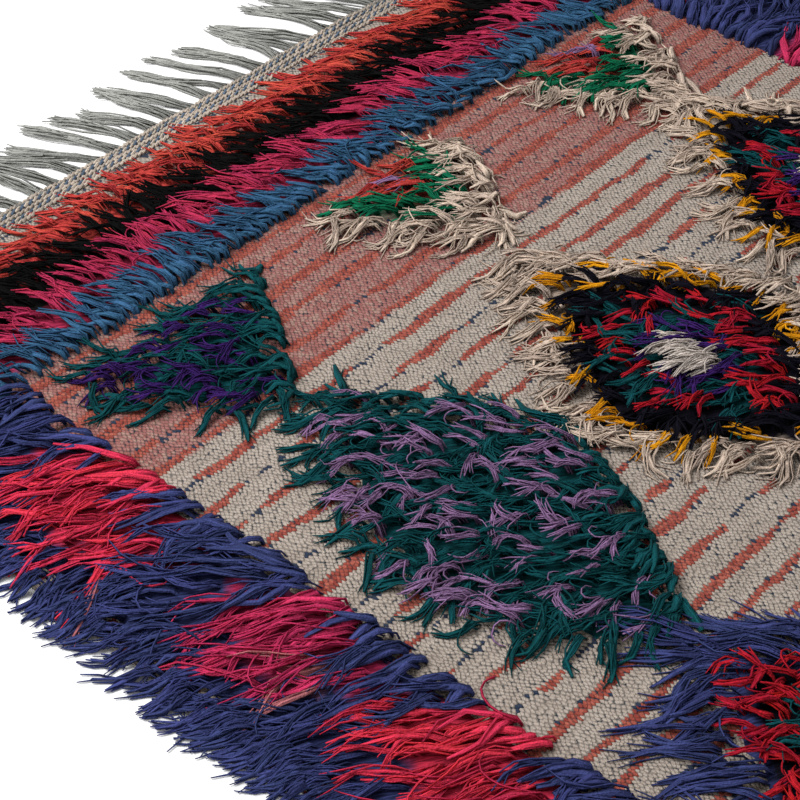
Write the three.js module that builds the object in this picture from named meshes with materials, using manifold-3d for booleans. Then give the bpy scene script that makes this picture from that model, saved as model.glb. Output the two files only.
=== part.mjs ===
// A hand-woven wool rug with shag motifs, lying flat, with a warp fringe at one end.
// Millimetres, +Z up. X is the weft (width), Y the warp (length), and the underside is z = 0.
// The origin is the middle of the underside, fringe and rim locks included.
import * as THREE from "three";
import { mergeVertices } from "three/addons/utils/BufferGeometryUtils.js";
import Module from "manifold-3d";

const wasm = await Module();
wasm.setup();

// Sizes of the cloth
const GROUND_WIDTH = 1216;
const BODY_START = -880;
const BODY_END = 742;
const GROUND_THICK = 4;
const PILE_RISE = 15;
const PILE_LUMP = 0.45;
const CELL = 30;

// Layout of the shag: end bands, side borders and a lattice of diamonds
const BAND_INNER_FRINGE_END = 572;
const BAND_INNER_PLAIN_END = -682;
const BAND_OUTER_PLAIN_END = -848;
const BORDER_WIDTH = 172;
const COLUMN_PITCH = 310;
const EDGE_SOFTNESS = 26;
const RIM_DROP = 0.45;

// Rows of diamonds from the fringe end to the plain end. The first and last are half hidden by a band.
const DIAMOND_ROWS = [
  { y: 572, halfWidth: 112, halfLength: 196 },
  { y: 155, halfWidth: 152, halfLength: 202 },
  { y: -262, halfWidth: 152, halfLength: 202 },
  { y: -682, halfWidth: 112, halfLength: 196 },
];

// Locks that hang over the two side edges
const LOCK_PITCH = 40;
const LOCK_ROOT_DEPTH = 24;
const LOCK_REACH_MAX = 24;
const LOCK_SECTIONS = [
  { along: 0.0, halfWidth: 15.0, top: 10.0 },
  { along: 0.5, halfWidth: 12.0, top: 8.5 },
  { along: 0.8, halfWidth: 7.0, top: 6.0 },
  { along: 1.0, halfWidth: 1.2, top: 2.5 },
];
// One repeat of the locks along an edge: how far each reaches and how far it leans along the edge
const LOCK_REPEAT = [
  { reach: 20, lean: 10 },
  { reach: 24, lean: 16 },
  { reach: 14, lean: 6 },
  { reach: 22, lean: 13 },
  { reach: 17, lean: 18 },
  { reach: 24, lean: 8 },
  { reach: 11, lean: 12 },
];

// Woven heading strip and the bundles of warp that hang from it
const PART_GAP = 0.3;
const HEADING_WIDTH = 28;
const HEADING_THICK = 5;
const HEADING_WAVE = 1.6;
const HEADING_STEPS = 48;
const BUNDLE_COUNT = 46;
const BUNDLE_ROOT_DEPTH = 8;
const BUNDLE_REACH_MAX = 110;
const SWAY_FREE_EDGE = 120;
const BUNDLE_SECTIONS = [
  { along: 0.0, halfWidth: 6.5, top: 4.5, sway: 0.0 },
  { along: 0.3, halfWidth: 6.0, top: 6.0, sway: 0.2 },
  { along: 0.65, halfWidth: 6.5, top: 6.0, sway: 0.62 },
  { along: 1.0, halfWidth: 2.0, top: 3.0, sway: 1.0 },
];
// One repeat of the bundles: reach beyond the strip, and sideways sway of the tip
const BUNDLE_REPEAT = [
  { reach: 104, sway: -38 },
  { reach: 110, sway: -44 },
  { reach: 92, sway: -52 },
  { reach: 110, sway: -46 },
  { reach: 98, sway: -34 },
  { reach: 86, sway: -26 },
  { reach: 106, sway: -30 },
];

const wool = new THREE.MeshStandardMaterial({ name: "wool", color: 0xb5a591, roughness: 0.95, metalness: 0 });
const warp = new THREE.MeshStandardMaterial({ name: "warp", color: 0x8c877b, roughness: 0.95, metalness: 0 });

// A repeatable number from 0 to 1 for two whole numbers
function scatter(i, j) {
  const s = Math.sin(i * 12.9898 + j * 78.233) * 43758.5453;
  return s - Math.floor(s);
}

// How far a point lies inside a diamond, in millimetres, negative outside
function insideDiamond(x, y, row, centreX) {
  const across = Math.abs(x - centreX) / row.halfWidth;
  const along = Math.abs(y - row.y) / row.halfLength;
  return (1 - across - along) * row.halfWidth * 0.8;
}

// How far a point lies inside the shag, in millimetres
function insideShag(x, y) {
  const reaches = [y - BAND_INNER_FRINGE_END];
  reaches.push(Math.min(BAND_INNER_PLAIN_END - y, y - BAND_OUTER_PLAIN_END));
  const clearOfHem = y - BAND_OUTER_PLAIN_END;
  reaches.push(Math.min(Math.abs(x) - (GROUND_WIDTH / 2 - BORDER_WIDTH), clearOfHem));
  for (const row of DIAMOND_ROWS) {
    for (const column of [-1, 0, 1]) {
      reaches.push(Math.min(insideDiamond(x, y, row, column * COLUMN_PITCH), clearOfHem));
    }
  }
  return Math.max(...reaches);
}

// Height of the upper face: flat ground, or lumpy shag that falls off toward the rim
function upperFace(x, y, i, j) {
  const depth = insideShag(x, y);
  const cover = THREE.MathUtils.smoothstep(depth, -EDGE_SOFTNESS / 2, EDGE_SOFTNESS / 2);
  const lump = 1 - PILE_LUMP / 2 + PILE_LUMP * scatter(i, j);
  const fromRim = Math.min(GROUND_WIDTH / 2 - Math.abs(x), BODY_END - y);
  const rim = THREE.MathUtils.lerp(RIM_DROP, 1, THREE.MathUtils.smoothstep(fromRim, 0, CELL));
  return GROUND_THICK + PILE_RISE * cover * lump * rim;
}

function toSolid(geometry) {
  const bare = geometry.clone();
  bare.deleteAttribute("normal");
  bare.deleteAttribute("uv");
  const merged = mergeVertices(bare, 1e-4);
  return new wasm.Manifold(new wasm.Mesh({
    numProp: 3,
    vertProperties: new Float32Array(merged.attributes.position.array),
    triVerts: new Uint32Array(merged.index.array),
  }));
}

function toGeometry(solid) {
  const mesh = solid.getMesh();
  const geometry = new THREE.BufferGeometry();
  geometry.setAttribute("position", new THREE.BufferAttribute(new Float32Array(mesh.vertProperties), 3));
  geometry.setIndex(new THREE.BufferAttribute(new Uint32Array(mesh.triVerts), 1));
  geometry.computeVertexNormals();
  return geometry;
}

// The slab: an upper face with raised points, closed by side walls and a flat underside
function slabGeometry() {
  const length = BODY_END - BODY_START;
  const columns = Math.round(GROUND_WIDTH / CELL);
  const rows = Math.round(length / CELL);
  const face = new THREE.PlaneGeometry(GROUND_WIDTH, length, columns, rows);
  face.translate(0, (BODY_START + BODY_END) / 2, 0);
  const points = [];
  const at = face.attributes.position;
  for (let k = 0; k < at.count; k += 1) {
    const i = k % (columns + 1);
    const j = Math.floor(k / (columns + 1));
    const z = upperFace(at.getX(k), at.getY(k), i, j);
    points.push(at.getX(k), at.getY(k), z);
  }
  const triangles = Array.from(face.index.array);

  // The rim of the upper face, counter-clockwise seen from above
  const rim = [];
  for (let j = 0; j < rows; j += 1) {
    rim.push(j * (columns + 1));
  }
  for (let i = 0; i < columns; i += 1) {
    rim.push(rows * (columns + 1) + i);
  }
  for (let j = rows; j > 0; j -= 1) {
    rim.push(j * (columns + 1) + columns);
  }
  for (let i = columns; i > 0; i -= 1) {
    rim.push(i);
  }

  const firstFoot = points.length / 3;
  for (const k of rim) {
    points.push(points[k * 3], points[k * 3 + 1], 0);
  }
  const middle = points.length / 3;
  points.push(0, (BODY_START + BODY_END) / 2, 0);
  rim.forEach((upper, n) => {
    const next = (n + 1) % rim.length;
    const foot = firstFoot + n;
    const nextFoot = firstFoot + next;
    triangles.push(upper, foot, nextFoot);
    triangles.push(upper, nextFoot, rim[next]);
    triangles.push(middle, nextFoot, foot);
  });

  const slab = new THREE.BufferGeometry();
  slab.setAttribute("position", new THREE.BufferAttribute(new Float32Array(points), 3));
  slab.setIndex(triangles);
  return slab;
}

// A four-sided strand that lies level on the floor. place(section) gives the middle of each section,
// and side is the direction of its width.
function strandGeometry(sections, place, side) {
  const spans = sections.length - 1;
  const strand = new THREE.CylinderGeometry(1, 1, spans, 4, spans, false, Math.PI / 4);
  const at = strand.attributes.position;
  for (let k = 0; k < at.count; k += 1) {
    const section = sections[Math.round(at.getY(k) + spans / 2)];
    const middle = place(section);
    const across = Math.round(at.getX(k) * Math.SQRT2);
    const upward = (Math.round(at.getZ(k) * Math.SQRT2) + 1) / 2;
    at.setXYZ(
      k,
      middle.x + side.x * across * section.halfWidth,
      middle.y + side.y * across * section.halfWidth,
      upward * section.top,
    );
  }
  return strand;
}

// Turns a solid's faces outward if its strands were laid out the other way round
function outward(geometry) {
  const merged = mergeVertices(geometry.clone().deleteAttribute("normal").deleteAttribute("uv"), 1e-4);
  const at = merged.attributes.position;
  const index = merged.index.array;
  const corner = [new THREE.Vector3(), new THREE.Vector3(), new THREE.Vector3()];
  let volume = 0;
  for (let t = 0; t < index.length; t += 3) {
    corner.forEach((c, n) => c.fromBufferAttribute(at, index[t + n]));
    volume += corner[0].dot(corner[1].cross(corner[2]));
  }
  if (volume < 0) {
    for (let t = 0; t < index.length; t += 3) {
      [index[t], index[t + 1]] = [index[t + 1], index[t]];
    }
  }
  return merged;
}

function rimLocks() {
  const locks = [];
  const count = Math.floor((BODY_END - BAND_OUTER_PLAIN_END) / LOCK_PITCH);
  for (const edge of [-1, 1]) {
    for (let n = 0; n < count; n += 1) {
      const { reach, lean } = LOCK_REPEAT[(n * (edge > 0 ? 3 : 1)) % LOCK_REPEAT.length];
      const y = BAND_OUTER_PLAIN_END + LOCK_PITCH * (n + 0.4);
      const rootX = GROUND_WIDTH / 2 - LOCK_ROOT_DEPTH;
      const tipX = GROUND_WIDTH / 2 + Math.min(reach, LOCK_REACH_MAX);
      const place = ({ along }) => ({
        x: edge * THREE.MathUtils.lerp(rootX, tipX, along),
        y: y + lean * along,
      });
      locks.push(outward(strandGeometry(LOCK_SECTIONS, place, { x: 0, y: 1 })));
    }
  }
  return locks;
}

function headingGeometry() {
  const outline = new THREE.Shape();
  const half = GROUND_WIDTH / 2;
  const inner = BODY_END + PART_GAP;
  outline.moveTo(-half, inner);
  outline.lineTo(half, inner);
  for (let n = 0; n <= HEADING_STEPS; n += 1) {
    const x = half - (GROUND_WIDTH * n) / HEADING_STEPS;
    const wave = HEADING_WAVE * (scatter(n, 3) - 0.5) * 2;
    outline.lineTo(x, inner + HEADING_WIDTH + wave);
  }
  outline.closePath();
  return new THREE.ExtrudeGeometry(outline, { depth: HEADING_THICK, bevelEnabled: false });
}

function fringeBundles() {
  const bundles = [];
  const outer = BODY_END + PART_GAP + HEADING_WIDTH;
  const tips = BODY_END + HEADING_WIDTH + BUNDLE_REACH_MAX;
  const pitch = GROUND_WIDTH / BUNDLE_COUNT;
  for (let n = 0; n < BUNDLE_COUNT; n += 1) {
    const { reach, sway } = BUNDLE_REPEAT[n % BUNDLE_REPEAT.length];
    const fromEdge = pitch * (n + 0.5);
    const x = -GROUND_WIDTH / 2 + fromEdge;
    const tipSway = sway * Math.min(1, fromEdge / SWAY_FREE_EDGE);
    const rootY = outer - BUNDLE_ROOT_DEPTH;
    const tipY = tips - (BUNDLE_REACH_MAX - reach);
    const place = (section) => ({
      x: x + tipSway * section.sway,
      y: THREE.MathUtils.lerp(rootY, tipY, section.along),
    });
    bundles.push(outward(strandGeometry(BUNDLE_SECTIONS, place, { x: 1, y: 0 })));
  }
  return bundles;
}

function fused(base, strands) {
  return wasm.Manifold.union([toSolid(base), ...strands.map((strand) => toSolid(strand))]);
}

function named(name, solid, material) {
  const mesh = new THREE.Mesh(toGeometry(solid), material);
  mesh.name = name;
  return mesh;
}

const part = new THREE.Group();
part.add(named("rug", fused(slabGeometry(), rimLocks()), wool));
part.add(named("fringe", fused(headingGeometry(), fringeBundles()), warp));

export default part;
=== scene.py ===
"""A hand-woven wool rug: striped flat weave, knotted shag in bands and diamonds, and a warp fringe."""
import logging
import math
from dataclasses import dataclass, field
from enum import Enum
from typing import Any, Mapping, Sequence

import bpy
import numpy as np
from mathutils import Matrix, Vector


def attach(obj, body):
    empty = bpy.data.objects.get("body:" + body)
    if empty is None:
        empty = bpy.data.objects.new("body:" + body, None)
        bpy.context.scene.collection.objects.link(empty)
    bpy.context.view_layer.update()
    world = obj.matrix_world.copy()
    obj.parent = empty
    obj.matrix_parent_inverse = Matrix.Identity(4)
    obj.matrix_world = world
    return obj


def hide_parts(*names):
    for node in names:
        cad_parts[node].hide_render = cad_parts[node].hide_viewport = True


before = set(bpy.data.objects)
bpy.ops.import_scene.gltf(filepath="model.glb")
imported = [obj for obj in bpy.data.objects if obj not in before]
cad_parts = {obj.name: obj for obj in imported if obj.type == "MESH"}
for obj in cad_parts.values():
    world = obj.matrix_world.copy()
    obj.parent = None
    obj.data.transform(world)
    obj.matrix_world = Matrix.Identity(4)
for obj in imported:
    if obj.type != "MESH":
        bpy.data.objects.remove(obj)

MM = 0.001
log = logging.getLogger("rug")


def linear(code: str) -> tuple[float, float, float, float]:
    """Turns an sRGB hex value into linear colour.

    Args:
        code: Six hex digits after a hash.

    Returns:
        Red, green, blue and a full alpha.
    """
    parts = [int(code[k : k + 2], 16) / 255 for k in (1, 3, 5)]
    r, g, b = (c / 12.92 if c <= 0.04045 else ((c + 0.055) / 1.055) ** 2.4 for c in parts)
    return (r, g, b, 1.0)


def add_node(
    tree: bpy.types.NodeTree, kind: str, inputs: Mapping[Any, Any] | None = None, **settings: Any
) -> bpy.types.Node:
    """Adds a node with its settings and links.

    Args:
        tree: The tree that takes the node.
        kind: The node's type name.
        inputs: Values, sockets, or nodes that give their first output, by the input's name or number.
        settings: The node's own properties.

    Returns:
        The new node.
    """
    node = tree.nodes.new(kind)
    for name, value in settings.items():
        setattr(node, name, value)
    for key, value in (inputs or {}).items():
        if isinstance(value, bpy.types.Node):
            value = value.outputs[0]
        if isinstance(value, bpy.types.NodeSocket):
            tree.links.new(value, node.inputs[key])
        else:
            node.inputs[key].default_value = value
    return node


def blank_material(name: str) -> tuple[bpy.types.Material, bpy.types.NodeTree]:
    """Makes a material with an empty tree.

    Args:
        name: What the real material is.

    Returns:
        The material and its tree.
    """
    mat = bpy.data.materials.new(name)
    mat.use_nodes = True
    mat.node_tree.nodes.clear()
    return mat, mat.node_tree


def put_in_scene(name: str, data: bpy.types.ID) -> bpy.types.Object:
    """Makes an object and links it to the scene.

    Args:
        name: The object's name.
        data: Its mesh, lamp or camera.

    Returns:
        The new object.
    """
    item = bpy.data.objects.new(name, data)
    bpy.context.scene.collection.objects.link(item)
    return item


def blended(grid: np.ndarray, i: np.ndarray, j: np.ndarray, a: np.ndarray, b: np.ndarray) -> np.ndarray:
    """Blends the four grid values round each point.

    Args:
        grid: The values.
        i: First number of the lower corner.
        j: Second number of the lower corner.
        a: Share of the way to the next first number.
        b: Share of the way to the next second number.

    Returns:
        One value for each point.
    """
    low = grid[i, j] * (1 - a) + grid[i + 1, j] * a
    high = grid[i, j + 1] * (1 - a) + grid[i + 1, j + 1] * a
    return low * (1 - b) + high * b


class Dye(Enum):
    """The dyed yarns of the shag, each with its colour in daylight."""

    CORAL_RED = "#C4463F"
    BLACK = "#0B0B0C"
    RASPBERRY = "#BA3358"
    BLUE = "#386083"
    VIOLET = "#3D4577"
    CRIMSON = "#DC3754"
    HOT_PINK = "#CC3664"
    SALMON = "#B86E74"
    TEAL = "#0D4B50"
    PURPLE = "#3E2268"
    LILAC = "#94729C"
    EMERALD = "#0E6B4B"
    CREAM = "#D2BDAC"
    MUSTARD = "#DC9414"
    NAVY = "#0F0D19"
    RED = "#B41C2E"
    WHITE = "#D4C8BF"


NUMBER_OF: dict[Dye, int] = {dye: number for number, dye in enumerate(Dye)}


class Motif(Enum):
    """The kinds of diamond in the lattice."""

    TEAL_SPOTTED = "teal with purple spots"
    CREAM_GREEN = "cream edge, green ring and red heart"
    TEAL_LILAC = "teal with rows of lilac tufts"
    MEDALLION = "cream edge and rings round a white tuft"
    VIOLET_RED = "violet edge and red heart"


class Part(Enum):
    """What a guide path becomes."""

    CORE = "packed middle of a lock"
    STRAND = "loose strand along a lock"
    LOOP = "strand that curls back"


@dataclass(frozen=True)
class Yarn:
    """How one dye's yarn was cut and how it lies, in millimetres.

    Attributes:
        length: Free length of a lock.
        lift: How high the lock stands before it falls over.
        curl: How far single strands bend, in radians.
        loops: Looped strands for each lock.
        strands: Loose strands round a lock.
        radius: Half a loose strand's thickness.
        points: Points along a loose strand.
        core: Half thickness of the yarn packed in the lock's middle.
        spread: Half width of the lock at its knot.
        loose: How far the locks' directions scatter, in radians.
        splay: How far the locks of a diamond turn outward.
    """

    length: float
    lift: float
    curl: float
    loops: float
    strands: int
    radius: float
    points: int
    core: float
    spread: float
    loose: float
    splay: float = 0.9


LONG_YARN = Yarn(76, 11.0, 0.36, 0.04, 4, 1.1, 6, 2.0, 5.8, 0.18)
BAND_YARN = Yarn(50, 11.5, 0.3, 0.03, 4, 1.05, 4, 1.9, 4.8, 0.14)
FIELD_YARN = Yarn(44, 11.5, 0.58, 0.12, 4, 1.1, 5, 1.9, 4.8, 0.4)
TUFT_YARN = Yarn(38, 14.5, 0.55, 0.3, 6, 0.88, 6, 1.6, 4.4, 0.38)
SOFT_YARN = Yarn(46, 11.5, 0.75, 0.4, 5, 1.05, 5, 1.9, 6.2, 0.34, 1.2)
RING_YARN = Yarn(38, 13.0, 0.55, 0.2, 4, 1.1, 5, 1.9, 4.8, 0.4)
EYE_YARN = Yarn(38, 16.5, 0.25, 0.05, 5, 1.0, 6, 1.7, 4.5, 0.14)

YARN_OF: dict[Dye, Yarn] = {
    Dye.CORAL_RED: BAND_YARN,
    Dye.BLACK: BAND_YARN,
    Dye.RASPBERRY: BAND_YARN,
    Dye.BLUE: BAND_YARN,
    Dye.VIOLET: LONG_YARN,
    Dye.CRIMSON: LONG_YARN,
    Dye.HOT_PINK: LONG_YARN,
    Dye.SALMON: LONG_YARN,
    Dye.TEAL: FIELD_YARN,
    Dye.PURPLE: TUFT_YARN,
    Dye.LILAC: TUFT_YARN,
    Dye.EMERALD: FIELD_YARN,
    Dye.CREAM: SOFT_YARN,
    Dye.MUSTARD: RING_YARN,
    Dye.NAVY: RING_YARN,
    Dye.RED: RING_YARN,
    Dye.WHITE: EYE_YARN,
}


@dataclass(frozen=True)
class WoolYarn:
    """Dyed wool yarn, spun and cut: matt, each strand its own tone, with painted shade towards the knot and
    between threads.

    Attributes:
        name: What the yarn is.
        colour: sRGB hex value.
        fuzz_mm: Size of the fibre texture. Real fibres are finer; this shows in the render.
        threads: Threads seen round a lock's core.
        run: Texture lengths along a strand.
        shift: How far apart the textures of the lightest and the darkest strand lie.
    """

    name: str
    colour: str
    fuzz_mm: float = 1.8
    threads: float = 11.0
    run: float = 2.5
    shift: float = 97.0

    def material(self) -> bpy.types.Material:
        """Builds the material.

        Returns:
            The material, which reads the yarn's tint, along and around attributes.
        """
        mat, tree = blank_material(self.name)
        tint, along, around = (
            add_node(tree, "ShaderNodeAttribute", attribute_name=name).outputs["Fac"]
            for name in ("tint", "along", "around")
        )
        # Threads run along the yarn: the texture is long in one way and narrow round it
        spot = add_node(tree, "ShaderNodeCombineXYZ", {0: around, 1: along, 2: tint})
        combed = add_node(
            tree,
            "ShaderNodeVectorMath",
            {0: spot, 1: (self.threads, self.run, self.shift)},
            operation="MULTIPLY",
        )
        thread = add_node(tree, "ShaderNodeTexNoise", {"Vector": combed, "Scale": 1.0, "Detail": 1.0})
        where = add_node(tree, "ShaderNodeTexCoord")
        fibre = add_node(
            tree,
            "ShaderNodeTexNoise",
            {"Vector": where.outputs["Object"], "Scale": 1 / (self.fuzz_mm * MM), "Detail": 2.0},
        )
        shade = add_node(tree, "ShaderNodeMapRange", {"Value": tint, "To Min": 0.8, "To Max": 1.16})
        # Painted shade: darker towards the knot; the thread and fibre noise darken the gaps between threads
        # and fibres, partly the yarn's own tone and partly painted shade
        for value, limits in (
            (along, (0.0, 0.45, 0.58, 1.0)),
            (thread.outputs["Fac"], (0.4, 0.57, 0.64, 1.1)),
            (fibre.outputs["Fac"], (0.3, 0.7, 0.8, 1.15)),
        ):
            ends = dict(zip(("From Min", "From Max", "To Min", "To Max"), limits))
            darker = add_node(tree, "ShaderNodeMapRange", {"Value": value, **ends})
            shade = add_node(tree, "ShaderNodeMath", {0: shade, 1: darker}, operation="MULTIPLY")
        hue = add_node(tree, "ShaderNodeMapRange", {"Value": tint, "To Min": 0.493, "To Max": 0.507})
        dyed = add_node(
            tree, "ShaderNodeHueSaturation", {"Hue": hue, "Value": shade, "Color": linear(self.colour)}
        )
        height = add_node(tree, "ShaderNodeMath", {0: thread.outputs["Fac"], 1: fibre.outputs["Fac"]})
        bump = add_node(tree, "ShaderNodeBump", {"Height": height, "Strength": 1.0, "Distance": 1.5 * MM})
        wool = add_node(
            tree,
            "ShaderNodeBsdfPrincipled",
            {
                "Base Color": dyed,
                "Roughness": 0.95,
                "IOR": 1.45,
                "Specular IOR Level": 0.12,
                "Sheen Weight": 0.1,
                "Sheen Roughness": 0.6,
                "Sheen Tint": linear(self.colour),
                "Normal": bump,
            },
        )
        add_node(tree, "ShaderNodeOutputMaterial", {"Surface": wool})
        return mat


@dataclass(frozen=True)
class FlatWeave:
    """Weft-faced plain weave of hand-spun wool: pebbly staggered grains with painted shade at their edges,
    dark warp in the gaps, slub stripes.

    Attributes:
        name: What the cloth is.
        grain_mm: Pitch of the weft grains along a row.
        rows_mm: Height of two weft rows.
        stripe_mm: Pitch of the coral stripes.
        rose_from_mm: Where the rose ground starts at the fringe end.
        rose_below_mm: Where it starts at the plain end.
        web_mm: Where the plain undyed web before the fringe starts.
        cream: Places on a ramp and sRGB hex values of the undyed weft.
        rose: The same for the rose weft.
        slub: The same for the coral stripes.
        navy: Thin thread beside and in the stripes.
        warp: Warp in the gaps.
    """

    name: str = "wool flat weave, undyed cream with slub stripes"
    grain_mm: float = 4.4
    rows_mm: float = 6.2
    stripe_mm: float = 33.0
    rose_from_mm: float = 375.0
    rose_below_mm: float = -478.0
    web_mm: float = 712.0
    cream: tuple[tuple[float, str], ...] = ((0.4, "#9C8F84"), (0.85, "#AFA398"))
    rose: tuple[tuple[float, str], ...] = ((0.0, "#8E5953"), (0.55, "#996863"), (1.0, "#9F7F74"))
    slub: tuple[tuple[float, str], ...] = ((0.0, "#84382F"), (1.0, "#A85B4C"))
    navy: str = "#2A3447"
    warp: str = "#1C2A36"

    def material(self) -> bpy.types.Material:
        """Builds the material.

        Returns:
            The material, on Object coordinates.
        """
        mat, tree = blank_material(self.name)
        where = add_node(tree, "ShaderNodeTexCoord")
        in_mm = add_node(
            tree,
            "ShaderNodeVectorMath",
            {0: where.outputs["Object"], 1: (1000, 1000, 0)},
            operation="MULTIPLY",
        )
        # Hand spinning and beating make the rows wander by a few millimetres
        wander = add_node(tree, "ShaderNodeTexNoise", {"Vector": in_mm, "Scale": 1 / 42, "Detail": 2.0})
        centred = add_node(
            tree,
            "ShaderNodeVectorMath",
            {0: wander.outputs["Color"], 1: (0.5, 0.5, 0.5)},
            operation="SUBTRACT",
        )
        drift = add_node(
            tree, "ShaderNodeVectorMath", {0: centred, 1: (8.0, 12.0, 0.0)}, operation="MULTIPLY"
        )
        cloth = add_node(tree, "ShaderNodeVectorMath", {0: in_mm, 1: drift})
        # A square lattice turned by 45 degrees gives grains staggered like bricks
        u, v = (
            add_node(
                tree,
                "ShaderNodeVectorMath",
                {0: cloth, 1: (1 / self.grain_mm, way / self.rows_mm, 0)},
                operation="DOT_PRODUCT",
            ).outputs["Value"]
            for way in (1, -1)
        )
        lattice = add_node(tree, "ShaderNodeCombineXYZ", {0: u, 1: v})
        grains = add_node(
            tree,
            "ShaderNodeTexVoronoi",
            {"Vector": lattice, "Scale": 1.0, "Randomness": 0.5},
            voronoi_dimensions="2D",
        )
        chance = add_node(tree, "ShaderNodeSeparateColor", {0: grains.outputs["Color"]})
        corner = add_node(tree, "ShaderNodeVectorMath", {0: grains.outputs["Position"]}, operation="FLOOR")
        grain_x, grain_y = (
            add_node(
                tree,
                "ShaderNodeVectorMath",
                {0: corner, 1: (size / 2, way * size / 2, 0)},
                operation="DOT_PRODUCT",
            ).outputs["Value"]
            for size, way in ((self.grain_mm, 1), (self.rows_mm, -1))
        )
        # Soft patches of tone, long along the weft
        patch_at = add_node(
            tree, "ShaderNodeVectorMath", {0: in_mm, 1: (0.25, 1.0, 1.0)}, operation="MULTIPLY"
        )
        patch = add_node(tree, "ShaderNodeTexNoise", {"Vector": patch_at, "Scale": 1 / 12, "Detail": 3.0})
        mix_tone = add_node(
            tree,
            "ShaderNodeMath",
            {0: chance.outputs[0], 1: 0.25, 2: patch.outputs["Fac"]},
            operation="MULTIPLY_ADD",
        )
        ramps = []
        for tone, stops in (
            (mix_tone, self.cream),
            (chance.outputs[0], self.rose),
            (chance.outputs[2], self.slub),
        ):
            ramp = add_node(tree, "ShaderNodeValToRGB", {"Fac": tone})
            elements = ramp.color_ramp.elements
            elements[0].position, elements[1].position = stops[0][0], stops[-1][0]
            for position, _ in stops[1:-1]:
                elements.new(position)
            for element, (_, colour) in zip(elements, stops):
                element.color = linear(colour)
            ramps.append(ramp)
        cream, rose, slub_hue = ramps
        near_fringe = add_node(
            tree,
            "ShaderNodeMapRange",
            {"Value": grain_y, "From Min": self.rose_from_mm - 1, "From Max": self.rose_from_mm + 1},
        )
        near_hem = add_node(
            tree,
            "ShaderNodeMapRange",
            {"Value": grain_y, "From Min": self.rose_below_mm + 1, "From Max": self.rose_below_mm - 1},
        )
        dyed = add_node(tree, "ShaderNodeMath", {0: near_fringe, 1: near_hem}, operation="MAXIMUM")
        patterned = add_node(tree, "ShaderNodeMath", {0: grain_y, 1: self.web_mm}, operation="LESS_THAN")
        rosy = add_node(tree, "ShaderNodeMath", {0: dyed, 1: patterned}, operation="MULTIPLY")
        base = add_node(tree, "ShaderNodeMix", {"Factor": rosy, "A": cream, "B": rose}, data_type="RGBA")
        # Stripes: a few weft shots of coral in each pitch, broken by lengths of thin navy thread
        lane = add_node(tree, "ShaderNodeMath", {0: grain_y, 1: self.stripe_mm}, operation="DIVIDE")
        lane_no = add_node(tree, "ShaderNodeMath", {0: lane}, operation="FLOOR")
        in_lane = add_node(tree, "ShaderNodeMath", {0: lane}, operation="FRACT")
        shift = add_node(tree, "ShaderNodeTexWhiteNoise", {"W": lane_no}, noise_dimensions="1D")
        centre = add_node(
            tree, "ShaderNodeMapRange", {"Value": shift.outputs["Value"], "To Min": 0.38, "To Max": 0.62}
        )
        off = add_node(tree, "ShaderNodeMath", {0: in_lane, 1: centre}, operation="SUBTRACT")
        gap = add_node(tree, "ShaderNodeMath", {0: off}, operation="ABSOLUTE")
        far_mm = add_node(tree, "ShaderNodeMath", {0: gap, 1: self.stripe_mm}, operation="MULTIPLY")
        slub_at = add_node(tree, "ShaderNodeCombineXYZ", {"X": grain_x, "Y": lane_no})
        slub_in = add_node(
            tree, "ShaderNodeVectorMath", {0: slub_at, 1: (1 / 85, 7.31, 0.0)}, operation="MULTIPLY"
        )
        slub = add_node(tree, "ShaderNodeTexNoise", {"Vector": slub_in, "Scale": 1.0, "Detail": 2.0})
        fill = add_node(
            tree, "ShaderNodeMath", {0: rosy, 1: 0.09, 2: slub.outputs["Fac"]}, operation="MULTIPLY_ADD"
        )
        half = add_node(
            tree,
            "ShaderNodeMapRange",
            {"Value": fill, "From Min": 0.42, "From Max": 0.62, "To Min": 1.9, "To Max": 6.0},
        )
        coral = add_node(tree, "ShaderNodeMath", {0: far_mm, 1: half}, operation="LESS_THAN")
        full = add_node(tree, "ShaderNodeMath", {0: fill, 1: 0.44}, operation="GREATER_THAN")
        present = add_node(tree, "ShaderNodeMath", {0: full, 1: patterned}, operation="MULTIPLY")
        shot = add_node(tree, "ShaderNodeMath", {0: coral, 1: present}, operation="MULTIPLY")
        thin = add_node(tree, "ShaderNodeMath", {0: far_mm, 1: 1.3}, operation="LESS_THAN")
        some = add_node(tree, "ShaderNodeMath", {0: chance.outputs[1], 1: 0.3}, operation="GREATER_THAN")
        core = add_node(tree, "ShaderNodeMath", {0: thin, 1: some}, operation="MULTIPLY")
        beyond = add_node(tree, "ShaderNodeMath", {0: far_mm, 1: half}, operation="SUBTRACT")
        beside = add_node(tree, "ShaderNodeMath", {0: beyond, 1: 1.1, 2: 1.3}, operation="COMPARE")
        few = add_node(tree, "ShaderNodeMath", {0: chance.outputs[1], 1: 0.93}, operation="GREATER_THAN")
        flank = add_node(tree, "ShaderNodeMath", {0: beside, 1: few}, operation="MULTIPLY")
        navy = add_node(tree, "ShaderNodeMath", {0: core, 1: flank}, operation="MAXIMUM")
        threaded = add_node(
            tree,
            "ShaderNodeMix",
            {"Factor": navy, "A": base.outputs["Result"], "B": linear(self.navy)},
            data_type="RGBA",
        )
        striped = add_node(
            tree,
            "ShaderNodeMix",
            {"Factor": shot, "A": threaded.outputs["Result"], "B": slub_hue},
            data_type="RGBA",
        )
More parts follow.
